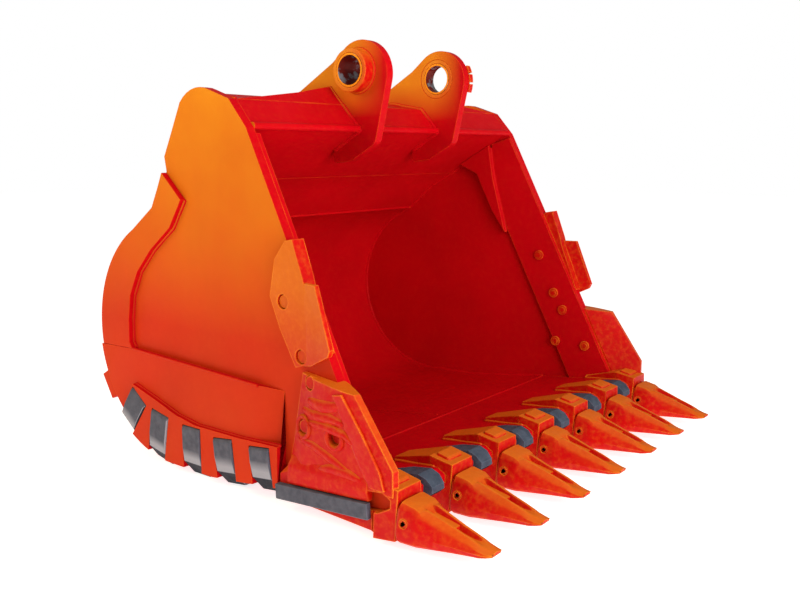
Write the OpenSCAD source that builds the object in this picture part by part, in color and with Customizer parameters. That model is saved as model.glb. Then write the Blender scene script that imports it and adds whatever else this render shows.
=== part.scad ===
// Heavy-duty excavator bucket: welded shell, cast lip with pinned teeth, bolted and welded wear parts.
// Millimetres, +X right, -Y forward (the way the teeth point), +Z up.
// The origin is on the stick-pin axis, half-way across the bucket.

/* [Shell] */
// Width over the outside of the two side plates at the heel
body_w = 2290; // [2250:10:2330]
// How far each side plate turns outwards towards the mouth, in degrees
flare = 2.3; // [2.0:0.1:2.6]
// Thickness of the side plates
side_t = 50; // [40:5:55]
// Thickness of the rolled wrapper
shell_t = 40; // [30:5:45]
// Inside radius of the rolled heel
heel_r = 590; // [584:2:594]

/* [Ears] */
// Clear gap between the two ears
ear_gap = 658; // [620:2:700]
// Thickness of an ear plate
ear_t = 52; // [44:2:60]
// Diameter of the stick pin's bore
pin_d = 150; // [130:5:156]
// Diameter of the link pin's bore
link_d = 140; // [120:5:150]
// How far the long collar stands out from the left ear
collar_out = 71; // [40:1:90]
// How far the same collar stands in, towards the stick
collar_in = 62; // [40:1:80]

/* [Teeth] */
// Number of teeth
teeth = 7; // [7]
// Width of a tooth's cutting edge
bit_w = 90; // [70:5:110]
// Diameter of a tooth lock
lock_d = 36; // [30:2:40]

/* [Wear parts] */
// Width of one heel shroud
shroud_w = 136; // [100:2:140]
// How far the heel shrouds stand out below the shell
shroud_t = 60; // [58:1:62]
// Height of the side wear bars
bar_h = 72; // [60:2:80]

/* [Hidden] */
$fn = 64;

// Colours
paint = [0.78, 0.06, 0.03];
orange = [0.85, 0.22, 0.04];
wear_grey = [0.33, 0.34, 0.36];
dark_steel = [0.12, 0.13, 0.15];
bare_steel = [0.55, 0.55, 0.56];

// Half widths
out_x = body_w / 2;
in_x = out_x - side_t;
ear_in = ear_gap / 2;
ear_out = ear_in + ear_t;

// Side view of the shell, as [y, z]
heel_c = [570, -1359];
floor_bend = 240;
floor_rise = 0.115;
lip_rear = -300;
lip_front = -915;
lip_t = 90;
seam_angle = 70;
mouth_top = [-12, -303];
brow = [104, -171];
mouth_slope = 0.515;
crest_c = [316, -311];
crest_r = 200;
crest_step = 24;
rear_y = 1200;
tube_end = [430, -560];
back_bend = [588, -647];
front_t = 30;
top_t = 25;

// Pins, as [y, z]
stick = [0, 0];
link = [594, -268];
bush_t = 12;
boss_r = 110;
link_boss_r = 100;
nose_c = [-18, -18];
nose_r = 175;
link_nose_r = 145;
right_boss_out = 26;

// Teeth
pitch = (body_w + 110) / (teeth - 1);
tip = [-1380, -1979];
tooth_rear = -953;
shoulder = -948;
lock_c = [-990, -1923];
lock_gap = 0.05;
lock_face = 100;
nose_gap = 2;
seam_gap = 0.3;

function arc(c, r, a0, a1, n) = [for (i = [0:n]) let (a = a0 + (a1 - a0) * i / n) c + r * [cos(a), sin(a)]];
function normal(a, b) = let (d = b - a) [-d[1], d[0]] / norm(d);
function shifted(p, t) = [for (i = [0:len(p) - 1])
    let (n0 = i > 0 ? normal(p[i - 1], p[i]) : normal(p[0], p[1]),
         n1 = i < len(p) - 1 ? normal(p[i], p[i + 1]) : n0)
    p[i] + t * (n0 + n1) / (1 + n0 * n1)];
function back_to_front(p) = [for (i = [len(p) - 1:-1:0]) p[i]];
function strip(p, t) = concat(p, back_to_front(shifted(p, t)));
function floor_z(y) = heel_c[1] - heel_r + max(0, floor_bend - y) * floor_rise;
function under_z(y) = floor_z(y) - shell_t * (y < floor_bend ? sqrt(1 + pow(floor_rise, 2)) : 1);
function mouth_y(z) = mouth_top[0] + mouth_slope * (z - mouth_top[1]);
function tube_under(y) = mouth_top[1] + (tube_end[1] - mouth_top[1]) * (y - mouth_top[0]) / (tube_end[0] - mouth_top[0]);
function tooth_x(i) = (i - (teeth + 1) / 2) * pitch;
// Half the bucket's width at y, measured to a face that lies that far outside the side plate's outer face
function side_x(y, out) = out_x + (rear_y - y) * tan(flare) + out / cos(flare);

// Paths along the shell, front to back
front_path = [brow, mouth_top, tube_end];
back_path = [tube_end, back_bend, heel_c + heel_r * [cos(seam_angle), sin(seam_angle)]];
heel_path = concat(back_to_front(arc(heel_c, heel_r, -90, seam_angle, 40)),
    [[floor_bend, floor_z(floor_bend)], [lip_rear, floor_z(lip_rear)]]);
top_path = concat([brow], arc(crest_c, crest_r - crest_step, 112, 60, 6), [[440, -200], [462, -420], [500, -570]]);
tube_solid = concat([mouth_top], top_path, [[760, -752]], [back_path[2], back_bend, tube_end]);
side_outline = concat(
    [mouth_top, brow], arc(crest_c, crest_r, 112, 42, 7),
    [[540, -320], [604, -438], [590, -512], [632, -585], [690, -688]],
    arc(heel_c, heel_r + shell_t, 62, -90, 38),
    [[floor_bend, under_z(floor_bend)], [lip_rear, under_z(lip_rear)]],
    [[lip_rear, floor_z(lip_rear)], [-783, floor_z(-783)]]);
lip_section = [[lip_rear, floor_z(lip_rear)], [-872, floor_z(-872)], [lip_front, -1846], [lip_front, -1880],
    [-850, floor_z(-850) - lip_t], [lip_rear, floor_z(lip_rear) - lip_t]];

// A [y, z] outline drawn out along X from x0 to x1
module slab(x0, x1, outline) {
    translate([x0, 0, 0]) rotate([90, 0, 90]) linear_extrude(height = x1 - x0) polygon(outline);
}
// A round bar along X
module rod(x0, x1, r, at) {
    translate([x0, at[0], at[1]]) rotate([0, 90, 0]) cylinder(h = x1 - x0, r = r);
}
module ring(x0, x1, r_out, r_in, at) {
    difference() {
        rod(x0, x1, r_out, at);
        rod(x0 - 1, x1 + 1, r_in, at);
    }
}
module block(x, y, z) {
    translate([x[0], y[0], z[0]]) cube([x[1] - x[0], y[1] - y[0], z[1] - z[0]]);
}
// A thin trapezoid across the bucket at y, to hull between
module section(y, w_top, z_top, w_low, z_low) {
    translate([0, y, 0]) rotate([90, 0, 0]) linear_extrude(height = 0.5)
        polygon([[-w_top / 2, z_top], [w_top / 2, z_top], [w_low / 2, z_low], [-w_low / 2, z_low]]);
}
// The left half of the bucket is the mirror image of the right one
module on_side(s) {
    if (s < 0) mirror([1, 0, 0]) children();
    else children();
}
// Turns what is drawn on a straight side plate outwards with it, about the plate's rear edge
module flared() {
    translate([out_x, rear_y, 0]) rotate([0, 0, flare]) translate([-out_x, -rear_y, 0]) children();
}
// Everything between two faces, one on each side, that lie that far outside the side plates
module between(out, y0, y1) {
    translate([0, 0, -2200]) linear_extrude(height = 2400) polygon([
        [-side_x(y0, out), y0], [side_x(y0, out), y0], [side_x(y1, out), y1], [-side_x(y1, out), y1]]);
}
// The same outline from one side plate to the other
module across(outline) {
    intersection() {
        slab(-out_x - 100, out_x + 100, outline);
        between(-side_t, -1000, rear_y + 100);
    }
}

// Shell
module wrapper() {
    color(paint) difference() {
        across(strip(heel_path, shell_t));
        block([-out_x - 100, out_x + 100], [lip_rear - 50, lip_rear], [-2100, -1800]);
    }
}
module back_plate() {
    color(paint) difference() {
        across(strip(back_path, shell_t));
        translate([0, -seam_gap, 0]) slab(-out_x - 1, out_x + 1, strip(heel_path, shell_t + 30));
        slab(-out_x - 1, out_x + 1, strip(front_path, front_t));
    }
}
module tube_shell() {
    color(paint) intersection() {
        union() {
            slab(-out_x - 100, out_x + 100, strip(front_path, front_t));
            mouth_rod();
        }
        between(-side_t, -1000, rear_y + 100);
    }
}
// The round bar that stiffens the mouth's upper edge
module mouth_rod() {
    rod(-out_x - 100, out_x + 100, 19, mouth_top + [11, 7]);
}
module top_plate() {
    color(paint) difference() {
        across(strip(top_path, -top_t));
        slab(-out_x - 1, out_x + 1, strip(front_path, front_t));
        slab(-out_x - 1, out_x + 1, strip(back_path, shell_t));
    }
}

// Bolts go through the side, as [y, z]: two for the protector, three for the wing
protector_bolts = [[-264, -1079], [-374, -1317]];
wing_bolts = [[-440, -1423], [-396, -1631], [-600, -1641]];
bolt_r = 18;
head_r = 30;
head_t = 12;
recess_r = 34;
protector_seat = 8;
wing_seat = 24;
module bolt_holes(x0, x1) {
    for (b = concat(protector_bolts, wing_bolts)) rod(x0, x1, bolt_r + 0.5, b);
}
module side_plate() {
    color(orange) difference() {
        flared() difference() {
            slab(in_x, out_x, side_outline);
            bolt_holes(in_x - 1, out_x + 1);
        }
        lip_slab();
    }
}
side_bar_t = 25;
module side_bar() {
    color(paint) difference() {
        flared() difference() {
            slab(in_x - side_bar_t, in_x, [
                [mouth_y(-330), -330], [100, tube_under(100)], [112, -471], [-24, -919], [-500, floor_z(-500)],
                [-783, floor_z(-783)]]);
            bolt_holes(in_x - side_bar_t - 1, in_x + 1);
        }
        slab(0, out_x + 100, strip(front_path, front_t));
        mouth_rod();
        lip_slab();
    }
}
module corner_gusset() {
    difference() {
        flared() slab(in_x - side_bar_t - 30, in_x - side_bar_t, [
            [112, tube_under(112)], [330, tube_under(330)], [200, -560], [80, -800], [-20, -940], [28, -764],
            [76, -588]]);
        slab(0, out_x + 100, strip(front_path, front_t));
    }
}
module corner_gussets() {
    color(paint) for (s = [-1, 1]) on_side(s) corner_gusset();
}
band_t = 34;
band_top = -1455;
band_inset = 14;
module heel_band() {
    color(orange) flared() slab(out_x, out_x + band_t, concat(
        [[590, -516], [628, -592], [684, -694]], arc(heel_c, heel_r + shell_t - band_inset, 62, -9.5, 24),
        [[908, band_top], [932, -1420], [928, -1299], [904, -1167], [832, -1035], [708, -911], [544, -791],
         [444, -647]]));
}
lower_front = -236;
strip_out = 60;
strip_drop = 22;
strip_outline = concat(
    arc(heel_c, heel_r + shell_t + strip_drop, -51, -90, 13),
    [[floor_bend, under_z(floor_bend) - strip_drop], [lower_front, under_z(lower_front) - strip_drop],
     [lower_front, -1757], [28, -1768], [354, -1770], [515, -1745], [700, -1690], [885, -1640]]);
// The lower side's plate thins out to nothing towards the wing; the corner bars stand on it between the shrouds
module lower_side() {
    color(orange) flared() {
        intersection() {
            slab(out_x, out_x + band_t, concat(
                [[lower_front, -1502], [908, band_top]], arc(heel_c, heel_r + shell_t, -9.5, -90, 26),
                [[floor_bend, under_z(floor_bend)], [lower_front, under_z(lower_front)]]));
            translate([0, 0, -2100]) linear_extrude(height = 700) polygon([
                [out_x, rear_y + 100], [out_x + band_t, rear_y + 100], [out_x + band_t, -60],
                [out_x + 1, lower_front], [out_x, lower_front]]);
        }
        difference() {
            slab(out_x, out_x + strip_out, strip_outline);
            along_heel() heel_notch();
        }
    }
}

// Ears, collars and bushes
module ear_blank() {
    slab(ear_in, ear_out, concat(
        arc(nose_c, nose_r, 55, 190, 27),
        [[-118, -354], [-96, -383], [52, -463], [156, -475], [174, -458], [176, -400], [600, -620], [715, -715],
         [760, -700], [742, -420]],
        arc(link, link_nose_r, -15, 105, 24),
        [[412, -88], [176, 50]]));
}
module ear(stick_r, link_r) {
    color(orange) difference() {
        ear_blank();
        slab(ear_in - 1, ear_out + 1, tube_solid);
        mouth_rod();
        slab(ear_in - 1, ear_out + 1, strip(heel_path, shell_t));
        slab(ear_in - 1, ear_out + 1, strip(back_path, shell_t));
        rod(ear_in - 1, ear_out + 1, stick_r, stick);
        rod(ear_in - 1, ear_out + 1, link_r, link);
    }
}
module stick_boss(reach_in, reach_out) {
    color(orange) ring(ear_in - reach_in, ear_out + reach_out, boss_r, pin_d / 2 + bush_t, stick);
}
module link_boss() {
    color(orange) ring(ear_in, ear_out + right_boss_out, link_boss_r, link_d / 2 + bush_t, link);
}
module stick_bushes() {
    color(bare_steel) {
        ring(-ear_out - collar_out, -ear_in + collar_in, pin_d / 2 + bush_t, pin_d / 2, stick);
        ring(ear_in, ear_out + right_boss_out, pin_d / 2 + bush_t, pin_d / 2, stick);
    }
}
module link_bushes() {
    color(bare_steel) for (s = [-1, 1]) on_side(s)
        ring(ear_in, ear_out + right_boss_out, link_d / 2 + bush_t, link_d / 2, link);
}
lug_from = 150;
lug_to = 200;
module pin_lugs() {
    color(orange) difference() {
        slab(ear_out, ear_out + 34, concat(
            arc(nose_c, nose_r + 6, lug_from, lug_to, 8), arc(nose_c, 118, lug_to, lug_from, 8)));
        for (a = [165, 183]) translate([ear_out, nose_c[0], nose_c[1]]) rotate([a, 0, 0])
            block([-1, 35], [158, 190], [-5, 5]);
    }
}
// Braces carry the face of the tube up to each ear
brace_t = 30;
brace_tilt = atan2(brow[1] - mouth_top[1], brow[0] - mouth_top[0]);
module ear_braces() {
    color(paint) for (s = [-1, 1]) on_side(s) difference() {
        translate([0, brow[0], brow[1]]) rotate([brace_tilt, 0, 0]) translate([0, 0, -brace_t])
            linear_extrude(height = brace_t) polygon([
                [ear_out, 0], [1125, 0], [1125, 5], [954, 29], [664, 74], [476, 115], [ear_out, 134]]);
        slab(ear_out - 1, 1126, tube_solid);
    }
}

// Lip with its corner castings
module lip() {
    color(paint) intersection() {
        lip_slab();
        between(lip_side, lip_front, lip_rear);
    }
}
module lip_slab() {
    slab(-out_x - 200, out_x + 200, lip_section);
}
lip_side = 20;
flank_y = [-800, -241];
flank_x = [out_x + 127, side_x(flank_y[1], 48)];
wing_x = out_x + 145;
// One horizontal cut through the wing, at z
module wing_cut(z, rear, lead, tall) {
    translate([0, 0, z]) linear_extrude(height = tall) polygon([
        [side_x(rear, 0), rear], [side_x(mouth_y(z), 8 - side_t), mouth_y(z)],
        [wing_x - 34, lead - 12], [wing_x - 2, lead - 4], [wing_x, lead + 58],
        [side_x(rear - 90, 50), rear - 90], [side_x(rear, 24), rear]]);
}
// Thin blocks at the flank's rear and front ends, from z[0] up to z[0] + tall and from z[1] up
module flank_ends(z, tall) {
    for (i = [0, 1]) block([side_x(flank_y[i], 20), flank_x[i]], [flank_y[i] - 4, flank_y[i]], [z[i], z[i] + tall[i]]);
}
module wing_solid() {
    hull() {
        wing_cut(-1375, -380, -681, 1);
        wing_cut(-1721, -312, -924, 1);
    }
    hull() {
        wing_cut(-1721, -312, -924, 1);
        wing_cut(floor_z(-783), -285, -924, 1);
    }
    hull() {
        wing_cut(floor_z(-783), -285, -800, 1);
        flank_ends([-1870, -1882], [1, 1]);
    }
    hull() flank_ends([-2010, -1988], [141, 107]);
}
module wing() {
    color(orange) difference() {
        wing_solid();
        flared() {
            slab(in_x - 40, out_x, side_outline);
            slab(in_x - 60, out_x + 200, [[-300, -1380], [-760, -1428], [-760, -1300], [-300, -1300]]);
            bolt_holes(in_x - 1, out_x + 200);
            for (b = wing_bolts) rod(out_x + wing_seat, out_x + 200, recess_r, b);
        }
        lip_slab();
        translate([tooth_x(teeth), 0, 0]) adapter_body();
    }
}

// Teeth: adapter welded over the lip, point pushed on its nose, lock turned in from the left
module adapter_body() {
    hull() {
        section(shoulder, 160, -1797, 202, -2012);
        section(-830, 172, -1774, 196, -2026);
    }
    hull() {
        section(-830, 172, -1774, 172, -1840);
        section(-610, 112, floor_z(-610) + 20, 120, floor_z(-610) - 5);
    }
    hull() {
        section(-830, 136, -1900, 138, -2026);
        section(-640, 100, floor_z(-640) - lip_t + 10, 96, floor_z(-640) - lip_t - 26);
    }
}
module adapter_nose(gap) {
    hull() {
        section(shoulder + 1, 146 + 2 * gap, -1864 + gap, 180 + 2 * gap, -2006 - gap);
        section(-1190 - gap, 74 + 2 * gap, -1918 + gap, 96 + 2 * gap, -1974 - gap);
    }
}
module adapter(i) {
    color(paint) difference() {
        translate([tooth_x(i), 0, 0]) difference() {
            union() {
                adapter_body();
                adapter_nose(0);
            }
            slab(-200, 200, lip_section);
            rod(-lock_face - 20, -40, 30, lock_c);
        }
        for (s = [-1, 1]) on_side(s) flared() slab(in_x - side_bar_t - seam_gap, out_x, side_outline);
    }
}
module point_solid() {
    hull() {
        section(tip[0] + 0.5, bit_w - 14, tip[1] + 6, bit_w - 6, tip[1] - 8);
        section(-1322, bit_w + 16, -1950, bit_w + 32, -2000);
    }
    hull() {
        section(-1322, bit_w + 16, -1950, bit_w + 32, -2000);
        section(-1160, bit_w + 34, -1900, bit_w + 80, -2010);
    }
    hull() {
        section(-1160, bit_w + 34, -1900, bit_w + 80, -2010);
        section(tooth_rear, 150, -1836, 236, -2014);
    }
}
module tooth(i) {
    color(orange) translate([tooth_x(i), 0, 0]) difference() {
        point_solid();
        adapter_nose(nose_gap);
        rod(-lock_face - 30, -60, lock_d / 2 + lock_gap, lock_c);
    }
}
module lock(i) {
    color(paint) translate([tooth_x(i), 0, 0]) difference() {
        union() {
            rod(-lock_face, -82, lock_d / 2, lock_c);
            rod(-82, -46, 10, lock_c + [0, 6]);
        }
        translate([-lock_face, lock_c[0], lock_c[1]]) rotate([45, 0, 0]) cube([20, 16, 16], center = true);
    }
}
module lip_shroud(i) {
    color(dark_steel) translate([tooth_x(i) + pitch / 2, 0, 0]) difference() {
        union() {
            hull() {
                section(-956, 88, -1852, 96, -1880);
                section(-926, 100, -1820, 114, -1906);
                section(-884, 102, -1804, 116, -1914);
            }
            hull() {
                section(-884, 102, -1804, 104, -1850);
                section(-790, 98, floor_z(-790) + 14, 104, floor_z(-790) - 5);
            }
            hull() {
                section(-790, 98, floor_z(-790) + 14, 104, floor_z(-790) - 5);
                section(-715, 34, floor_z(-715) + 7, 40, floor_z(-715) - 5);
            }
        }
        slab(-200, 200, lip_section);
    }
}

// Bolted side protector, whose lower half is a blade that stands out and forward
module protector() {
    color(orange) flared() difference() {
        union() {
            slab(in_x + 6, out_x + 30, [[-285, -803], [-330, -795], [-392, -960], [-405, -1010], [-515, -1290],
                [-470, -1330], [-340, -1371], [-240, -1200], [-180, -1060], [-215, -890]]);
            intersection() {
                slab(out_x, out_x + 80, [[-300, -985], [-478, -985], [-580, -1258], [-566, -1288],
                    [-440, -1350], [-350, -1362], [-280, -1100]]);
                translate([0, 0, -1400]) linear_extrude(height = 450) polygon([
                    [out_x, -240], [out_x + 60, -582], [out_x + 32, -590], [out_x, -360]]);
            }
        }
        slab(in_x - 1, out_x, side_outline);
        bolt_holes(in_x - 1, out_x + 60);
        for (b = protector_bolts) rod(out_x + protector_seat, out_x + 100, recess_r, b);
    }
}
module side_bolt(at, seat) {
    rod(in_x - side_bar_t - head_t - 2, out_x + seat, bolt_r, at);
    ring(in_x - side_bar_t - head_t, in_x - side_bar_t, head_r, bolt_r, at);
    rod(out_x + seat, out_x + seat + head_t, head_r, at);
}
module side_bolts() {
    color(orange) for (s = [-1, 1]) on_side(s) flared() {
        for (b = protector_bolts) side_bolt(b, protector_seat);
        for (b = wing_bolts) side_bolt(b, wing_seat);
    }
}

// Wear parts: shrouds round the heel corner, bars on the flanks, strips under the shell
leg_t = 34;
leg_x = out_x + band_t + seam_gap;
shroud_in = 150;
notch_gap = 4;
// Places as [angle round the heel, rise of the leg, gap over the foot] and [y along the floor, rise of the leg]
heel_places = [[37, 208, 3.5], [11, 224, 1.5]];
floor_places = [[392, 204], [130, 182], [-131, 164]];
// Draws its child at each place, with the leg's rise there in $rise
module along_heel() {
    for (p = heel_places) let ($rise = p[1])
        translate([0, heel_c[0], heel_c[1]]) rotate([p[0], 0, 0])
            translate([0, 0, -heel_r - shell_t - p[2]]) children();
    for (p = floor_places) let ($rise = p[1])
        translate([0, p[0], under_z(p[0]) - seam_gap]) rotate([p[0] < floor_bend ? -atan(floor_rise) : 0, 0, 0])
            children();
}
module heel_shroud() {
    rotate([90, 0, 0]) translate([0, 0, -shroud_w / 2]) linear_extrude(height = shroud_w) polygon([
        [leg_x, $rise], [leg_x + leg_t - 8, $rise], [leg_x + leg_t, $rise - 12], [leg_x + leg_t, 88],
        [leg_x + leg_t - 9, 14], [leg_x - 34, -shroud_t], [leg_x - shroud_in, -shroud_t],
        [leg_x - shroud_in, 0], [leg_x, 0]]);
}
module heel_notch() {
    half = shroud_w / 2 + notch_gap;
    block([out_x - 1, out_x + 200], [-half, half], [-200, $rise + notch_gap]);
}
module heel_shrouds() {
    color(wear_grey) flared() along_heel() heel_shroud();
}
bar_z = -1957;
bar_tilt = 3.9;
module wear_bar() {
    translate([0, flank_y[0], bar_z]) rotate([-bar_tilt, 0, 0]) translate([0, -flank_y[0], 0])
        linear_extrude(height = bar_h) polygon([
            [flank_x[1] + seam_gap, flank_y[1]], [flank_x[0] + seam_gap, flank_y[0]],
            [flank_x[0] + 28, flank_y[0]], [flank_x[1] + 34, flank_y[1]]]);
}
module wear_bars() {
    color(wear_grey) for (s = [-1, 1]) on_side(s) wear_bar();
}
// A wide strip across the heel, whose ends stand out past the side plates
heel_strip = [150, 62];
heel_strip_x = out_x + 30;
module wear_strips() {
    color(paint) difference() {
        translate([0, heel_c[0], heel_c[1]]) rotate([-30, 0, 0])
            block([-heel_strip_x, heel_strip_x], [heel_r, heel_r + shell_t + heel_strip[1]],
                [-heel_strip[0] / 2, heel_strip[0] / 2]);
        slab(-heel_strip_x - 1, heel_strip_x + 1, concat([heel_c], arc(heel_c, heel_r + shell_t + 3, -55, -5, 16)));
    }
}

wrapper();
back_plate();
tube_shell();
top_plate();
on_side(-1) side_plate();  // side_plate_left
on_side(1) side_plate();  // side_plate_right
on_side(-1) side_bar();  // side_bar_left
on_side(1) side_bar();  // side_bar_right
on_side(-1) heel_band();  // heel_band_left
on_side(1) heel_band();  // heel_band_right
on_side(-1) lower_side();  // lower_side_left
on_side(1) lower_side();  // lower_side_right
corner_gussets();
on_side(-1) ear(boss_r, link_boss_r);  // ear_left
on_side(1) ear(boss_r, link_boss_r);  // ear_right
ear_braces();
on_side(-1) stick_boss(collar_in, collar_out);  // stick_boss_left
on_side(1) stick_boss(0, right_boss_out);  // stick_boss_right
on_side(-1) link_boss();  // link_boss_left
on_side(1) link_boss();  // link_boss_right
stick_bushes();
link_bushes();
pin_lugs();
lip();
on_side(-1) wing();  // wing_left
on_side(1) wing();  // wing_right
adapter(1);  // adapter_1
adapter(2);  // adapter_2
adapter(3);  // adapter_3
adapter(4);  // adapter_4
adapter(5);  // adapter_5
adapter(6);  // adapter_6
adapter(7);  // adapter_7
tooth(1);  // tooth_1
tooth(2);  // tooth_2
tooth(3);  // tooth_3
tooth(4);  // tooth_4
tooth(5);  // tooth_5
tooth(6);  // tooth_6
tooth(7);  // tooth_7
lock(1);  // lock_1
lock(2);  // lock_2
lock(3);  // lock_3
lock(4);  // lock_4
lock(5);  // lock_5
lock(6);  // lock_6
lock(7);  // lock_7
lip_shroud(1);  // lip_shroud_1
lip_shroud(2);  // lip_shroud_2
lip_shroud(3);  // lip_shroud_3
lip_shroud(4);  // lip_shroud_4
lip_shroud(5);  // lip_shroud_5
lip_shroud(6);  // lip_shroud_6
on_side(-1) protector();  // protector_left
on_side(1) protector();  // protector_right
side_bolts();
on_side(-1) heel_shrouds();  // heel_shrouds_left
on_side(1) heel_shrouds();  // heel_shrouds_right
wear_bars();
wear_strips();
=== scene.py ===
"""The looks of a heavy-duty excavator bucket: red paint on plate and castings, with the key light's orange
sheen painted into it, grey wear parts.

Metres, in the CAD's frame: +X right, -Y forward, +Z up, with the origin on the stick pin's axis.
"""

import math

import bmesh
import bpy
from mathutils import Matrix, Vector
from mathutils.bvhtree import BVHTree


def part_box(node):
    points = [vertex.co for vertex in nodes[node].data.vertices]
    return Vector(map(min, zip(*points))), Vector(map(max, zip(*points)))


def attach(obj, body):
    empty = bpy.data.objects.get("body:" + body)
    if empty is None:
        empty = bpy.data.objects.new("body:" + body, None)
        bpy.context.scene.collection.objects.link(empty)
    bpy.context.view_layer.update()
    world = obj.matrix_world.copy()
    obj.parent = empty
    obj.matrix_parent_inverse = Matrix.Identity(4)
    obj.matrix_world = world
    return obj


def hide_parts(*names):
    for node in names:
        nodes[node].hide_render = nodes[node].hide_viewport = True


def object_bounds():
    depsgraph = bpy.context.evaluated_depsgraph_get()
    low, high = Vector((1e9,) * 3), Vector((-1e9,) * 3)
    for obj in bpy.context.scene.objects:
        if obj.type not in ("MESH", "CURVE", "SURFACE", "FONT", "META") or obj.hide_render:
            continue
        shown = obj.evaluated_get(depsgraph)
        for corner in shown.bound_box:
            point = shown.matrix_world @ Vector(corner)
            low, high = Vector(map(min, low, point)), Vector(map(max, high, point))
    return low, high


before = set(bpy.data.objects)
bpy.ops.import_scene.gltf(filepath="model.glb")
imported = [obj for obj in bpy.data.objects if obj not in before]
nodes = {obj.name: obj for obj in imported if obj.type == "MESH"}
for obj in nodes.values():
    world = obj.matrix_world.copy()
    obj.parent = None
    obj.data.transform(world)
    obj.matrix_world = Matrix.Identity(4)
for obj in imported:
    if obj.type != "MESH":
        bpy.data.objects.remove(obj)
cad_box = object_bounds()
BODY = "bucket"

# Camera and light
CAMERA_AT = (-4.159, -3.150, -0.408)
CAMERA_AZIMUTH = 52.738
CAMERA_DOWN = 9.232
LENS = 41.418
AIM = (0, 0, -1.0)


# Shader building
def new_material(name, roughness, metallic=0.0):
    """A material with its Principled shader; the numbers that are the same all over sit on its sockets."""
    mat = bpy.data.materials.new(name)
    mat.use_nodes = True
    shader = mat.node_tree.nodes["Principled BSDF"]
    shader.inputs["Roughness"].default_value = roughness
    shader.inputs["Metallic"].default_value = metallic
    shader.inputs["Specular IOR Level"].default_value = 0.06
    return mat, mat.node_tree, shader


def noise(tree, scale, detail=4.0):
    """Cloudy noise in the piece's own place; scale is in features for each metre."""
    where = tree.nodes.new("ShaderNodeTexCoord")
    n = tree.nodes.new("ShaderNodeTexNoise")
    n.inputs["Scale"].default_value = scale
    n.inputs["Detail"].default_value = detail
    n.inputs["Roughness"].default_value = 0.55
    tree.links.new(where.outputs["Object"], n.inputs["Vector"])
    return n.outputs["Fac"]


def ramp(tree, value, low, high, to_low=0.0, to_high=1.0):
    """value mapped from low..high to to_low..to_high, and held there beyond."""
    m = tree.nodes.new("ShaderNodeMapRange")
    for socket, number in (("From Min", low), ("From Max", high), ("To Min", to_low), ("To Max", to_high)):
        m.inputs[socket].default_value = number
    tree.links.new(value, m.inputs["Value"])
    return m.outputs["Result"]


def mix(tree, factor, a, b):
    """Colour a to colour b by factor; a and b are colours or sockets."""
    m = tree.nodes.new("ShaderNodeMix")
    m.data_type = "RGBA"
    tree.links.new(factor, m.inputs["Factor"])
    for socket, colour in (("A", a), ("B", b)):
        target = [i for i in m.inputs if i.name == socket and i.type == "RGBA"][0]
        if isinstance(colour, bpy.types.NodeSocket):
            tree.links.new(colour, target)
        else:
            target.default_value = (*colour, 1.0)
    return [o for o in m.outputs if o.type == "RGBA"][0]


def edges(tree, radius):
    """1 along the convex edges of a piece, and 0 on its faces."""
    bevel = tree.nodes.new("ShaderNodeBevel")
    bevel.samples = 4
    bevel.inputs["Radius"].default_value = radius
    flat = tree.nodes.new("ShaderNodeNewGeometry")
    dot = tree.nodes.new("ShaderNodeVectorMath")
    dot.operation = "DOT_PRODUCT"
    tree.links.new(bevel.outputs["Normal"], dot.inputs[0])
    tree.links.new(flat.outputs["Normal"], dot.inputs[1])
    return ramp(tree, dot.outputs["Value"], 0.98, 0.80)


def bump(tree, shader, *layers):
    """Each layer is (height socket, strength, distance in metres)."""
    last = None
    for height, strength, distance in layers:
        b = tree.nodes.new("ShaderNodeBump")
        b.inputs["Strength"].default_value = strength
        b.inputs["Distance"].default_value = distance
        tree.links.new(height, b.inputs["Height"])
        if last:
            tree.links.new(last, b.inputs["Normal"])
        last = b.outputs["Normal"]
    tree.links.new(last, shader.inputs["Normal"])


def maths(tree, operation, a, b):
    """One sum on two sockets or numbers."""
    m = tree.nodes.new("ShaderNodeMath")
    m.operation = operation
    for socket, value in zip(m.inputs, (a, b)):
        if isinstance(value, bpy.types.NodeSocket):
            tree.links.new(value, socket)
        else:
            socket.default_value = value
    return m.outputs[0]


def facing(tree, axis):
    """How far a face looks along one of the world's axes, from -1 to 1."""
    faces, parts = tree.nodes.new("ShaderNodeNewGeometry"), tree.nodes.new("ShaderNodeSeparateXYZ")
    tree.links.new(faces.outputs["Normal"], parts.inputs[0])
    return parts.outputs[axis]


def place(tree, axis):
    """Where a point of the bucket is along one axis, in metres."""
    where, parts = tree.nodes.new("ShaderNodeTexCoord"), tree.nodes.new("ShaderNodeSeparateXYZ")
    tree.links.new(where.outputs["Object"], parts.inputs[0])
    return parts.outputs[axis]


def painted_sheen(tree, low, high):
    """How far a painted sheen of the key light turns the red to orange, in patches: on faces that look left
    high at the back, which are the ears', fading out below a painted shadow line, and on the side plates'
    outer faces, stronger towards the top.

    low and high are (height, strength) on the sides.
    """
    outwards = maths(tree, "MULTIPLY", facing(tree, "X"), place(tree, "X"))
    sides = ramp(tree, outwards, 0.85, 1.13)
    fading = ramp(tree, place(tree, "Z"), low[0], high[0], low[1], high[1])
    # Painted shadow: the ears' sheen stops below the height where the crest of the left side plate would
    # shade them.
    high_back = maths(tree, "MULTIPLY", ramp(tree, place(tree, "Z"), -0.24, -0.02),
                      ramp(tree, place(tree, "Y"), -0.17, 0.02))
    ears = maths(tree, "MULTIPLY", ramp(tree, facing(tree, "X"), -0.4, -0.95), high_back)
    patches = ramp(tree, noise(tree, 1.7), 0.3, 0.7, 0.78, 1.12)
    strongest = maths(tree, "MAXIMUM", maths(tree, "MULTIPLY", sides, fading), ears)
    return maths(tree, "MULTIPLY", strongest, patches)


# The orange of the painted sheen and of painted highlights.
SHEEN_ORANGE = (0.76, 0.25, 0.010)


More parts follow.
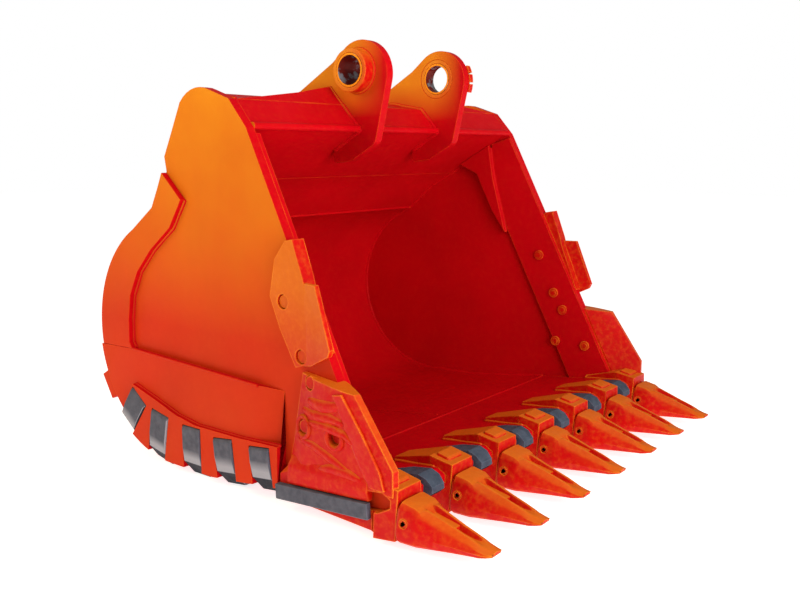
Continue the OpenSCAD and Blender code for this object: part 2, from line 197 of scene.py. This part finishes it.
def paint(name, base, wear_and_highlight, cast):
    """Sprayed paint over steel, with light painted into its colour: an orange sheen, orange tops on castings,
    and orange edges that mix edge wear with a painted highlight; cast is how rough the metal under it is,
    from 0 for rolled plate to 1.
    """
    mat, tree, shader = new_material(name, 0.35)
    shader.inputs["Specular IOR Level"].default_value = 0.03 + 0.09 * cast
    cloudy = mix(tree, ramp(tree, noise(tree, 2.2), 0.35, 0.7), base, [c * 0.86 for c in base])
    low, high = ((-1.45, 0.0), (-1.0, 0.55)) if cast else ((-1.3, 0.14), (-0.1, 1.0))
    # Painted sheen: the red turns to orange where the key light would glint.
    sheened = mix(tree, painted_sheen(tree, low, high), cloudy, SHEEN_ORANGE)
    # Painted light: upward-facing faces of castings turn orange, lighter on top.
    lit_tops = mix(tree, ramp(tree, facing(tree, "Z"), 0.35, 0.95, 0.0, 0.62 * cast), sheened, SHEEN_ORANGE)
    fine = mix(tree, ramp(tree, noise(tree, 38), 0.45, 0.75, 0.0, 0.06 + 0.10 * cast), lit_tops, wear_and_highlight)
    broken = ramp(tree, noise(tree, 7), 0.35, 0.65, 0.15, 1.0)
    # Edges turn orange: edge wear and a painted edge highlight together.
    edge_wear_and_highlight = maths(tree, "MULTIPLY", edges(tree, 0.007 + 0.006 * cast), broken)
    painted_light_tone = mix(tree, edge_wear_and_highlight, fine, wear_and_highlight)
    tree.links.new(painted_light_tone, shader.inputs["Base Color"])
    tree.links.new(ramp(tree, noise(tree, 9), 0.3, 0.75, 0.28, 0.48 + 0.1 * cast), shader.inputs["Roughness"])
    bump(tree, shader,
         (noise(tree, 3.2, 2), 0.25, 0.004),
         (noise(tree, 90, 3), 0.10 + 0.35 * cast, 0.0012 + 0.0015 * cast))
    return mat


def bare_cast(name, base, wear_and_highlight, painted_light_tone, under):
    """Unpainted cast wear steel with a sandy skin, with light painted by facing: another tone where it leans
    a little under, painted shade underneath, and a painted highlight along its edges.
    """
    mat, tree, shader = new_material(name, 0.7, metallic=0.1)
    mottled = mix(tree, ramp(tree, noise(tree, 24), 0.35, 0.7), base, wear_and_highlight)
    # Painted light: faces that lean a little under take another tone, lighter on the grey and darker on the
    # blue-grey.
    leaning = mix(tree, ramp(tree, facing(tree, "Z"), -0.05, -0.10), mottled, painted_light_tone)
    # Painted shade: faces that look down are darkened.
    shaded = mix(tree, ramp(tree, facing(tree, "Z"), -0.28, -0.42), leaning, under)
    # Painted highlight: lighter along the edges.
    edge_highlit = mix(tree, edges(tree, 0.008), shaded, [min(1.0, c * 1.5) for c in wear_and_highlight])
    tree.links.new(edge_highlit, shader.inputs["Base Color"])
    tree.links.new(ramp(tree, noise(tree, 12), 0.3, 0.7, 0.5, 0.85), shader.inputs["Roughness"])
    bump(tree, shader, (noise(tree, 60, 5), 0.8, 0.004), (noise(tree, 300, 2), 0.5, 0.0012))
    return mat


def turned_steel(name, base, streak, sprayed_sheen):
    """A machined bore with a smear of grease, and paint on its end faces in the orange of the painted sheen,
    a painted highlight.
    """
    mat, tree, shader = new_material(name, 0.35, metallic=0.3)
    greasy = mix(tree, ramp(tree, noise(tree, 14), 0.52, 0.60), base, streak)
    across = maths(tree, "ABSOLUTE", facing(tree, "X"), 0.0)
    # End faces take the painted sheen's orange, a painted highlight.
    tree.links.new(mix(tree, ramp(tree, across, 0.5, 0.9), greasy, sprayed_sheen), shader.inputs["Base Color"])
    tree.links.new(ramp(tree, noise(tree, 30), 0.3, 0.7, 0.25, 0.5), shader.inputs["Roughness"])
    bump(tree, shader, (noise(tree, 220, 2), 0.15, 0.0006))
    return mat


PAINT = {
    # Each paint: its base, then the orange of its flecks and of its edges, which is edge wear and a painted
    # highlight.
    "shell_paint": paint("shell_paint", (0.56, 0.0015, 0.006), (0.78, 0.10, 0.008), 0.0),
    "cast_paint": paint("cast_paint", (0.58, 0.004, 0.003), (0.88, 0.27, 0.015), 0.8),
    # Each bare casting: its base, the lighter tone of its flecks and painted edge highlight, the painted
    # light on faces that lean a little under, and the painted shade underneath.
    "wear_grey": bare_cast("wear_grey", (0.075, 0.078, 0.10), (0.12, 0.122, 0.15), (0.34, 0.34, 0.38),
                           (0.03, 0.031, 0.04)),
    "shroud_blue_grey": bare_cast("shroud_blue_grey", (0.05, 0.065, 0.09), (0.085, 0.105, 0.14),
                                  (0.02, 0.022, 0.028), (0.01, 0.01, 0.012)),
    "bush_steel": turned_steel("bush_steel", (0.16, 0.012, 0.008), (0.25, 0.25, 0.27), SHEEN_ORANGE),
}


# Shape tools
SMOOTH_OVER = math.radians(28)


def smooth_group():
    """Geometry nodes that shade every face smooth, for the weighted normals to work on."""
    group = bpy.data.node_groups.new("smooth", "GeometryNodeTree")
    group.interface.new_socket("Geometry", in_out="INPUT", socket_type="NodeSocketGeometry")
    group.interface.new_socket("Geometry", in_out="OUTPUT", socket_type="NodeSocketGeometry")
    start, end = group.nodes.new("NodeGroupInput"), group.nodes.new("NodeGroupOutput")
    shade = group.nodes.new("GeometryNodeSetShadeSmooth")
    group.links.new(start.outputs[0], shade.inputs["Geometry"])
    group.links.new(shade.outputs[0], end.inputs[0])
    return group


SMOOTH = smooth_group()


def round_edges(obj, width, segments=3):
    """Rounds the sharp edges by width and shades the rest flat or round, as its faces ask."""
    bevel = obj.modifiers.new("bevel", "BEVEL")
    bevel.width = width
    bevel.segments = segments
    bevel.limit_method = "ANGLE"
    bevel.angle_limit = SMOOTH_OVER
    obj.modifiers.new("smooth", "NODES").node_group = SMOOTH
    normals = obj.modifiers.new("normals", "WEIGHTED_NORMAL")
    normals.weight = 90
    normals.keep_sharp = False


def join_facets(obj):
    """Joins an imported node's triangles back into whole faces."""
    obj.modifiers.new("join", "WELD").merge_threshold = 0.00002
    flat = obj.modifiers.new("flat", "DECIMATE")
    flat.decimate_type = "DISSOLVE"
    flat.angle_limit = math.radians(0.6)


def dress(obj, slot):
    """Gives a piece one slot's paint."""
    obj.data.materials.clear()
    obj.data.materials.append(PAINT[slot])


def piece(name, verts, faces, slot, stands_for=(), body=BODY):
    """A new mesh piece that rides on body and may stand for some CAD nodes."""
    mesh = bpy.data.meshes.new(name)
    mesh.from_pydata([tuple(v) for v in verts], [], faces)
    work = bmesh.new()
    work.from_mesh(mesh)
    bmesh.ops.recalc_face_normals(work, faces=work.faces)
    for face in work.faces:
        face.smooth = True
    work.to_mesh(mesh)
    work.free()
    obj = bpy.data.objects.new(name, mesh)
    bpy.context.scene.collection.objects.link(obj)
    dress(obj, slot)
    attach(obj, body)
    if stands_for:
        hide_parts(*stands_for)
    return obj


def loft(rings):
    """A closed skin through rings that all have the same number of points."""
    n = len(rings[0])
    faces = [(r * n + i, r * n + (i + 1) % n, (r + 1) * n + (i + 1) % n, (r + 1) * n + i)
             for r in range(len(rings) - 1) for i in range(n)]
    last = (len(rings) - 1) * n
    return [p for ring in rings for p in ring], faces + [tuple(range(n)), tuple(range(last, last + n))]


def walk(path, step):
    """Points along a polyline about a step apart, each with its distance from the start."""
    path = [Vector(p) for p in path]
    walked, done = [(path[0], 0.0)], 0.0
    for a, b in zip(path, path[1:]):
        parts = max(1, round((b - a).length / step))
        walked += [(a.lerp(b, k / parts), done + (b - a).length * k / parts) for k in range(1, parts + 1)]
        done += (b - a).length
    return walked


BEAD_SIDES = 8


def bead(path, radius, ripple=0.16, pitch=0.015, closed=False):
    """Rings of a weld bead along path, which swell and neck as each puddle froze."""
    walked = walk(path + path[:1] if closed else path, pitch / 3)
    if closed:
        walked.pop()
    rings = []
    for k, (at, along) in enumerate(walked):
        before = walked[k - 1][0] if k or closed else at
        after = walked[(k + 1) % len(walked)][0] if k + 1 < len(walked) or closed else at
        ahead = (after - before).normalized()
        side = ahead.cross(Vector((0.31, 0.52, 0.80))).normalized()
        up = side.cross(ahead)
        swell = radius * (1 + ripple * (0.5 - (along / pitch) % 1.0) + ripple * 0.6 * math.sin(along * 41))
        end = 0.55 if not closed and k in (0, len(walked) - 1) else 1.0
        rings.append([at + swell * end * (math.cos(a) * side + math.sin(a) * up)
                      for a in (2 * math.pi * i / BEAD_SIDES for i in range(BEAD_SIDES))])
    return rings


def beads(name, runs, slot):
    """One piece made of many weld runs, each a bead()'s rings and whether it closes on itself."""
    verts, faces = [], []
    for rings, closed in runs:
        more, skin = loft(rings)
        if closed:
            n, last = BEAD_SIDES, (len(rings) - 1) * BEAD_SIDES
            skin = skin[:-2] + [(last + i, last + (i + 1) % n, (i + 1) % n, i) for i in range(n)]
        faces += [tuple(i + len(verts) for i in face) for face in skin]
        verts += more
    return piece(name, verts, faces, slot)


# The bucket's lines, as the CAD has them
FLARE = math.radians(2.3)
REAR_Y, REAR_HALF = 1.2, 1.145
SIDE_T = 0.050
HEEL, HEEL_R, SHELL_T = Vector((0.570, -1.359)), 0.590, 0.040
FLOOR_BEND, FLOOR_RISE, LIP_REAR = 0.240, 0.115, -0.300
MOUTH, BROW, TUBE_END, BACK_BEND = (-0.012, -0.303), (0.104, -0.171), (0.430, -0.560), (0.588, -0.647)
CREST, CREST_R = Vector((0.316, -0.311)), 0.176
SEAM = math.radians(70)
EAR_IN, EAR_OUT = 0.329, 0.381
TEETH = range(1, 8)


def side_x(y, out=0.0):
    """The half width at y, to a face that lies that far outside the side plates."""
    return REAR_HALF + (REAR_Y - y) * math.tan(FLARE) + out / math.cos(FLARE)


def floor_z(y):
    """The height of the floor's top face at y, which rises towards the lip."""
    return HEEL.y - HEEL_R + max(0.0, FLOOR_BEND - y) * FLOOR_RISE


def arc(centre, radius, start, end, count):
    """Points round an arc, from start to end in degrees."""
    angles = (math.radians(start + (end - start) * i / count) for i in range(count + 1))
    return [(centre[0] + radius * math.cos(a), centre[1] + radius * math.sin(a)) for a in angles]


def both_sides(line, out):
    """A [y, z] line laid on both side plates, that far outside them."""
    return [[(s * side_x(y, out), y, z) for y, z in line] for s in (-1, 1)]


def at_x(x, line):
    return [(x, y, z) for y, z in line]


def across(y, z, half):
    return [(-half, y, z), (half, y, z)]


def centre_x(node):
    low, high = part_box(node)
    return (low[0] + high[0]) / 2


# Welds
INNER_LINE = ([(LIP_REAR, floor_z(LIP_REAR)), (FLOOR_BEND, floor_z(FLOOR_BEND))]
              + arc(HEEL, HEEL_R, -90, 70, 40) + [BACK_BEND, TUBE_END, MOUTH])
TOP_LINE = [BROW] + arc(CREST, CREST_R, 112, 60, 8) + [(0.440, -0.200), (0.462, -0.420), (0.498, -0.560)]


def shell_welds():
    """The welds that join the rolled shell and the tube to the side plates, and the seams across."""
    seam = (HEEL.x + HEEL_R * math.cos(SEAM), HEEL.y + HEEL_R * math.sin(SEAM))
    runs = [(bead(line, 0.012), False) for line in both_sides(INNER_LINE, -SIDE_T)]
    runs += [(bead(line, 0.009), False) for line in both_sides(TOP_LINE, -SIDE_T)]
    runs += [(bead(line, 0.008), False)
             for line in both_sides(arc(HEEL, HEEL_R + SHELL_T, 60, -90, 40), -SIDE_T)]
    for (y, z), radius in ((seam, 0.009), ((LIP_REAR, floor_z(LIP_REAR)), 0.006)):
        runs.append((bead(across(y, z, side_x(y, -SIDE_T)), radius), False))
    middle = [(0, y, floor_z(y)) for y in (0.319, 0.24, -0.258)]
    runs.append((bead(middle, 0.006), False))
    return beads("shell_welds", runs, "shell_paint")


BRACE_RISE = 0.134
EAR_FOOT_Y = 0.17
EAR_REAR = [(0.497, -0.540), (0.614, -0.617), (0.735, -0.722)]
COLLAR_SEAMS = (
    # a collar's node, and the x of the ear's face that it is welded to
    ("stick_boss_left", -EAR_OUT),
    ("stick_boss_left", -EAR_IN),
    ("stick_boss_right", EAR_OUT),
    ("link_boss_left", -EAR_OUT),
    ("link_boss_right", EAR_OUT),
)


def ear_welds():
    """The welds round the foot of each ear, round its collars and up its brace."""
    under = MOUTH[1] + (TUBE_END[1] - MOUTH[1]) * (EAR_FOOT_Y - MOUTH[0]) / (TUBE_END[0] - MOUTH[0])
    seat = [(EAR_FOOT_Y, under), MOUTH] + TOP_LINE[:-1] + EAR_REAR
    runs = [(bead(at_x(s * x, seat), 0.013), False) for s in (-1, 1) for x in (EAR_IN, EAR_OUT)]
    for node, x in COLLAR_SEAMS:
        low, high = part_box(node)
        centre, radius = ((low[1] + high[1]) / 2, (low[2] + high[2]) / 2), (high[1] - low[1]) / 2
        runs.append((bead(at_x(x, arc(centre, radius, 0, 350, 35)), 0.010, closed=True), True))
    up = Vector((0, BROW[0] - MOUTH[0], BROW[1] - MOUTH[1])).normalized()
    for s in (-1, 1):
        foot = Vector((s * (EAR_OUT + 0.002), *BROW))
        runs.append((bead([foot, foot + up * BRACE_RISE], 0.008), False))
    return beads("ear_welds", runs, "shell_paint")


HEEL_BAND_EDGE = [(0.908, -1.455), (0.932, -1.420), (0.928, -1.299), (0.904, -1.167), (0.832, -1.035),
                  (0.708, -0.911), (0.544, -0.791), (0.444, -0.647)]
LOWER_EDGE = [(-0.084, -1.496), (0.908, -1.455)]
CORNER_EDGE = [(-0.236, -1.757), (0.028, -1.768), (0.354, -1.770), (0.515, -1.745), (0.700, -1.690),
               (0.885, -1.640)]
BAND_T = 0.034
BAR_EDGE = [(0.112, -0.471), (-0.024, -0.919), (-0.500, -1.864)]
GUSSET_EDGE = [(0.330, -0.500), (0.200, -0.560), (0.080, -0.800), (-0.020, -0.940), (0.028, -0.764),
               (0.076, -0.588), (0.109, -0.391)]


def side_welds():
    """The welds along the edges of everything that is laid on the side plates."""
    runs = []
    for line, out, radius in ((HEEL_BAND_EDGE, 0.0, 0.010), (LOWER_EDGE, BAND_T - 0.004, 0.008),
                              (CORNER_EDGE, BAND_T, 0.008), (BAR_EDGE, -SIDE_T, 0.010),
                              (GUSSET_EDGE, -SIDE_T - 0.025, 0.009)):
        runs += [(bead(path, radius), False) for path in both_sides(line, out)]
    return beads("side_welds", runs, "shell_paint")


ADAPTER_FOOT = ((-0.088, -0.86), (-0.062, -0.612), (0.062, -0.612), (0.088, -0.86))


def lip_welds():
    """The weld round the back of each adapter, where it is clear of the side bars."""
    runs = []
    for i in TEETH:
        x = centre_x("tooth_%d" % i)
        outline = [(x + dx, y, floor_z(y)) for dx, y in ADAPTER_FOOT]
        limit = side_x(-0.7, -SIDE_T - 0.03)
        runs.append((bead([p for p in outline if abs(p[0]) < limit], 0.010), False))
    return beads("lip_welds", runs, "cast_paint")


# Teeth
def tooth_ring(x, y, top, shoulder, base, z_top, z_shoulder, z_base, z_low, rib, flute):
    """One section of a tooth: flat or fluted top with two ribs, sloped shoulders, and a flat underside."""
    half = [(0.0, z_top - flute), (0.30 * top, z_top - flute), (0.46 * top, z_top + rib),
            (0.66 * top, z_top + rib), (top, z_top - 0.004), (shoulder, z_shoulder), (base, z_base),
            (base - 0.006, z_low + 0.012), (0.82 * base, z_low), (0.0, z_low)]
    right = half[1:-1]
    left = [(-a, z) for a, z in reversed(right)]
    return [(x + a, y, z) for a, z in [half[0]] + right + [half[-1]] + left]


TOOTH = (
    # y, half widths of the top, the shoulder and the base, their heights, the underside, rib and flute
    (-0.9535, 0.070, 0.086, 0.106, -1.852, -1.872, -1.965, -2.008, 0.0, 0.0),
    (-0.966, 0.075, 0.090, 0.111, -1.838, -1.868, -1.965, -2.013, 0.0, 0.0),
    (-1.030, 0.073, 0.088, 0.109, -1.852, -1.880, -1.967, -2.014, 0.0, 0.0),
    (-1.052, 0.070, 0.086, 0.107, -1.866, -1.889, -1.968, -2.014, 0.0, 0.001),
    (-1.070, 0.066, 0.081, 0.101, -1.876, -1.897, -1.968, -2.013, 0.010, 0.015),
    (-1.130, 0.058, 0.070, 0.088, -1.902, -1.920, -1.969, -2.010, 0.016, 0.017),
    (-1.200, 0.052, 0.060, 0.073, -1.927, -1.942, -1.974, -2.006, 0.016, 0.017),
    (-1.265, 0.050, 0.055, 0.064, -1.945, -1.958, -1.979, -2.002, 0.012, 0.011),
    (-1.300, 0.048, 0.053, 0.059, -1.953, -1.965, -1.981, -2.000, 0.006, 0.004),
    (-1.322, 0.038, 0.052, 0.057, -1.957, -1.970, -1.982, -1.999, 0.0, 0.0),
    (-1.352, 0.027, 0.049, 0.053, -1.963, -1.977, -1.984, -1.993, 0.0, 0.0),
    (-1.379, 0.018, 0.040, 0.042, -1.973, -1.978, -1.983, -1.987, 0.0, 0.0),
)


def tooth(i):
    """One tooth point, which stands for its CAD node."""
    name = "tooth_%d" % i
    x = centre_x(name)
    rings = [tooth_ring(x, *row) for row in TOOTH]
    obj = piece("point_%d" % i, *loft(rings), "cast_paint", stands_for=[name])
    bore(obj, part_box("lock_%d" % i), x)
    round_edges(obj, 0.004)


LOCK_CLEARANCE, CUTTER_LENGTH, CUTTER_OUT = 0.0008, 0.2, 0.170


def bore(obj, lock_box, x):
    """Cuts the lock's round hole into the left cheek."""
    low, high = lock_box
    y, z, radius = (low[1] + high[1]) / 2, (low[2] + high[2]) / 2, (high[2] - low[2]) / 2
    wide = radius + LOCK_CLEARANCE
    work = bmesh.new()
    bmesh.ops.create_cone(work, cap_ends=True, segments=48, radius1=wide, radius2=wide, depth=CUTTER_LENGTH)
    work.transform(Matrix.Translation((x - CUTTER_OUT, y, z)) @ Matrix.Rotation(math.pi / 2, 4, "Y"))
    mesh = bpy.data.meshes.new("bore")
    work.to_mesh(mesh)
    work.free()
    cutter = bpy.data.objects.new("bore", mesh)
    bpy.context.scene.collection.objects.link(cutter)
    cut = obj.modifiers.new("bore", "BOOLEAN")
    cut.operation, cut.object, cut.solver = "DIFFERENCE", cutter, "EXACT"
    with bpy.context.temp_override(object=obj, active_object=obj):
        bpy.ops.object.modifier_apply(modifier="bore")
    bpy.data.objects.remove(cutter)


ADAPTER_STEP = (
    # y, half width, and the heights of the foot and the top
    (-0.842, 0.052, -1.790, -1.772),
    (-0.850, 0.060, -1.790, -1.764),
    (-0.905, 0.060, -1.800, -1.776),
    (-0.916, 0.054, -1.806, -1.786),
)
STEP_SLOPE = 0.008


def adapter_steps():
    """The raised step on each adapter's back, where the casting thickens before the tooth."""
    for i in TEETH:
        x = centre_x("tooth_%d" % i)
        rings = []
        for y, half, low, high in ADAPTER_STEP:
            top = half - STEP_SLOPE
            rings.append([(x - half, y, low), (x - top, y, high), (x + top, y, high), (x + half, y, low)])
        step = piece("adapter_step_%d" % i, *loft(rings), "cast_paint")
        round_edges(step, 0.004)


# Wing castings
def face_finder(node):
    """A function that gives the point of a node's outer face, on the left or right side, at y and z."""
    work = bmesh.new()
    work.from_mesh(nodes[node].data)
    tree = BVHTree.FromBMesh(work)
    work.free()
    side = -1 if node.endswith("left") else 1

    def find(y, z, out=0.0):
        hit = tree.ray_cast(Vector((side * 3, y, z)), Vector((-side, 0, 0)))[0]
        return None if hit is None else hit + Vector((side * out, 0, 0))
    return find


WING_RIDGES = (
    # half width and height of the ridge, then its line as [y, z]
    (0.034, 0.012, [(-0.43, -1.500), (-0.52, -1.512), (-0.60, -1.500), (-0.65, -1.480)]),
    (0.030, 0.013, [(-0.39, -1.548), (-0.47, -1.562), (-0.57, -1.555), (-0.66, -1.565)]),
    (0.026, 0.014, [(-0.44, -1.600), (-0.54, -1.598), (-0.66, -1.612), (-0.73, -1.650)]),
    (0.024, 0.010, [(-0.36, -1.690), (-0.46, -1.700), (-0.56, -1.735), (-0.70, -1.785)]),
    (0.030, 0.014, [(-0.50, -1.800), (-0.58, -1.785), (-0.68, -1.785), (-0.76, -1.800)]),
)
WING_RINGS = ((-0.440, -1.423), (-0.396, -1.631), (-0.600, -1.641))
LEAD_STRIP = (
    # the inner and the outer end of each cut across the leading edge's strip, as [y, z]
    ((-0.590, -1.446), (-0.660, -1.432)),
    ((-0.660, -1.600), (-0.775, -1.590)),
    ((-0.735, -1.742), (-0.868, -1.738)),
    ((-0.790, -1.815), (-0.890, -1.812)),
)
RIDGE_SHAPE = ((-1.0, -0.5), (-0.8, 0.16), (-0.55, 0.62), (-0.25, 0.93), (0.0, 1.0),
               (0.25, 0.93), (0.55, 0.62), (0.8, 0.16), (1.0, -0.5))


def ridge(find, half, height, line):
    """Rings of a low rounded ridge cast on a face, which sinks into the face at both ends."""
    points = [find(p.x, p.y) for p, _ in walk([(y, z, 0) for y, z in line], 0.02)]
    points = [p for p in points if p]
    out = find(line[0][0], line[0][1], 1.0) - find(*line[0])
    rings = []
    for k, at in enumerate(points):
        ahead = (points[min(k + 1, len(points) - 1)] - points[max(k - 1, 0)]).normalized()
        side = ahead.cross(out).normalized()
        swell = math.sin(math.pi * (0.06 + 0.88 * k / (len(points) - 1))) ** 0.5
        rings.append([at + side * half * swell * a + out * height * (swell * b if b > 0 else b)
                      for a, b in RIDGE_SHAPE])
    return rings


def lead_strip(find):
    """Rings of the raised strip along a wing's leading edge."""
    rings = []
    for inner, outer in LEAD_STRIP:
        middle = tuple(a + 0.25 * (b - a) for a, b in zip(inner, outer))
        rings.append([find(*inner, out=-0.004), find(*middle, out=0.008), find(*outer, out=0.011),
                      find(*outer, out=-0.004)])
    return rings


SKIRT_ENDS = ((-0.300, 0.70), (-0.330, 1.0), (-0.500, 1.0), (-0.680, 1.0), (-0.770, 0.9), (-0.792, 0.55))
FLANK_Y, FLANK_X, BAR_TOP = (-0.241, -0.800), (1.251, 1.272), (-1.923, -1.885)


def wing_skirt(side, find):
    """Rings of the swelling along a wing casting's foot, which closes it over the wear bar."""
    hand = -1 if side == "left" else 1
    rings = []
    for y, full in SKIRT_ENDS:
        along = (y - FLANK_Y[0]) / (FLANK_Y[1] - FLANK_Y[0])
        flank = FLANK_X[0] + along * (FLANK_X[1] - FLANK_X[0])
        top = BAR_TOP[0] + along * (BAR_TOP[1] - BAR_TOP[0])
        upper = find(y, -1.775)
        bulge = max(abs(find(y, -1.822).x), flank) + 0.014 * full
        rings.append([(upper.x - hand * 0.004, y, -1.772), (upper.x + hand * 0.004, y, -1.790),
                      (hand * (bulge - 0.004), y, -1.818), (hand * bulge, y, -1.838),
                      (hand * (flank + 0.020 * full), y, top + 0.020),
                      (hand * (flank + 0.012 * full), y, top + 0.004),
                      (hand * (flank - 0.020), y, top + 0.004), (hand * (flank - 0.030), y, -1.80)])
    return rings


def wing_casting(side):
    """What stands out of a wing casting: ridges, rings round the bolts, its skirt and its strip."""
    find = face_finder("wing_" + side)
    for k, row in enumerate(WING_RIDGES):
        piece("wing_ridge_%s_%d" % (side, k), *loft(ridge(find, *row)), "cast_paint")
    rings = [[find(a, b) for a, b in arc(at, 0.047, 0, 345, 23)] for at in WING_RINGS]
    beads("wing_rings_" + side, [(bead(ring, 0.012, ripple=0.02, pitch=0.03, closed=True), True)
                                 for ring in rings if all(ring)], "cast_paint")
    round_edges(piece("wing_skirt_" + side, *loft(wing_skirt(side, find)), "cast_paint"), 0.006)
    round_edges(piece("wing_strip_" + side, *loft(lead_strip(find)), "cast_paint"), 0.003)


# What stays as the CAD has it, and gets rounded edges and its paint
NODE_SLOTS = {
    "shell_paint": ("wrapper", "back_plate", "tube_shell", "top_plate", "side_plate", "side_bar", "heel_band",
                    "lower_side", "corner_gussets", "ear_braces", "ear_left", "ear_right", "lip",
                    "wear_strips"),
    "cast_paint": ("stick_boss", "link_boss", "pin_lugs", "wing", "adapter", "tooth", "lock", "protector",
                   "side_bolts"),
    "wear_grey": ("heel_shrouds", "wear_bars"),
    "shroud_blue_grey": ("lip_shroud",),
    "bush_steel": ("stick_bushes", "link_bushes"),
}
EDGE_WIDTHS = (("bushes", 0.002), ("lock", 0.0015), ("side_bolts", 0.004), ("adapter", 0.009),
               ("wing", 0.008), ("lip_shroud", 0.003), ("heel_shrouds", 0.006), ("protector", 0.006),
               ("boss", 0.005))
PLAIN_EDGE = 0.004


def node_slot(name):
    """The material slot whose longest name begins this node's name."""
    found = [(len(start), slot) for slot, starts in NODE_SLOTS.items()
             for start in starts if name.startswith(start)]
    return max(found)[1]


def dress_nodes():
    """Paints the CAD's own nodes and rounds their edges."""
    for name, obj in nodes.items():
        dress(obj, node_slot(name))
        join_facets(obj)
        round_edges(obj, next((width for part, width in EDGE_WIDTHS if part in name), PLAIN_EDGE))


# Stage
def area_light(name, at, size, power, colour):
    """A soft square light that looks at the bucket's middle."""
    light = bpy.data.objects.new(name, bpy.data.lights.new(name, "AREA"))
    light.data.size = size
    light.data.energy = power
    light.data.color = colour
    light.location = at
    light.rotation_euler = (Vector(AIM) - Vector(at)).to_track_quat("-Z", "Y").to_euler()
    bpy.context.scene.collection.objects.link(light)


def studio():
    """A white background, weak light from all round, and three soft lights."""
    world = bpy.data.worlds.new("studio")
    bpy.context.scene.world = world
    world.use_nodes = True
    tree = world.node_tree
    tree.nodes.clear()
    seen, lit = tree.nodes.new("ShaderNodeBackground"), tree.nodes.new("ShaderNodeBackground")
    seen.inputs["Color"].default_value = (1, 1, 1, 1)
    lit.inputs["Color"].default_value = (1.0, 0.97, 0.94, 1)
    lit.inputs["Strength"].default_value = 0.28
    path, blend = tree.nodes.new("ShaderNodeLightPath"), tree.nodes.new("ShaderNodeMixShader")
    out = tree.nodes.new("ShaderNodeOutputWorld")
    tree.links.new(path.outputs["Is Camera Ray"], blend.inputs["Fac"])
    tree.links.new(lit.outputs[0], blend.inputs[1])
    tree.links.new(seen.outputs[0], blend.inputs[2])
    tree.links.new(blend.outputs[0], out.inputs["Surface"])
    area_light("key_left", (-5.5, 3.4, 2.2), 3.5, 185, (1.0, 0.80, 0.45))
    area_light("top", (-1.0, -1.0, 4.5), 4.0, 80, (1.0, 0.93, 0.85))
    area_light("front", (-2.0, -6.5, 0.6), 4.0, 370, (1.0, 0.97, 0.98))


def floor():
    """A plain pale floor just under the bucket."""
    mesh = bpy.data.meshes.new("floor")
    low = cad_box[0][2] - 0.002
    mesh.from_pydata([(-30, -30, low), (30, -30, low), (30, 30, low), (-30, 30, low)], [], [(0, 1, 2, 3)])
    obj = bpy.data.objects.new("floor", mesh)
    bpy.context.scene.collection.objects.link(obj)
    mat, tree, shader = new_material("floor", 0.9)
    shader.inputs["Emission Color"].default_value = (1, 1, 1, 1)
    shader.inputs["Emission Strength"].default_value = 0.80
    tint = mix(tree, noise(tree, 0.4), (0.80, 0.80, 0.80), (0.84, 0.84, 0.84))
    tree.links.new(tint, shader.inputs["Base Color"])
    obj.data.materials.append(mat)


def camera():
    cam = bpy.data.objects.new("camera", bpy.data.cameras.new("camera"))
    cam.data.lens = LENS
    cam.data.sensor_width = 36
    cam.location = CAMERA_AT
    cam.rotation_euler = [math.radians(a) for a in (90 - CAMERA_DOWN, 0, -CAMERA_AZIMUTH)]
    bpy.context.scene.collection.objects.link(cam)
    bpy.context.scene.camera = cam
    bpy.context.scene.view_settings.view_transform = "Standard"


dress_nodes()
for number in TEETH:
    tooth(number)
adapter_steps()
for hand in ("left", "right"):
    wing_casting(hand)
shell_welds()
ear_welds()
side_welds()
lip_welds()
floor()
studio()
camera()
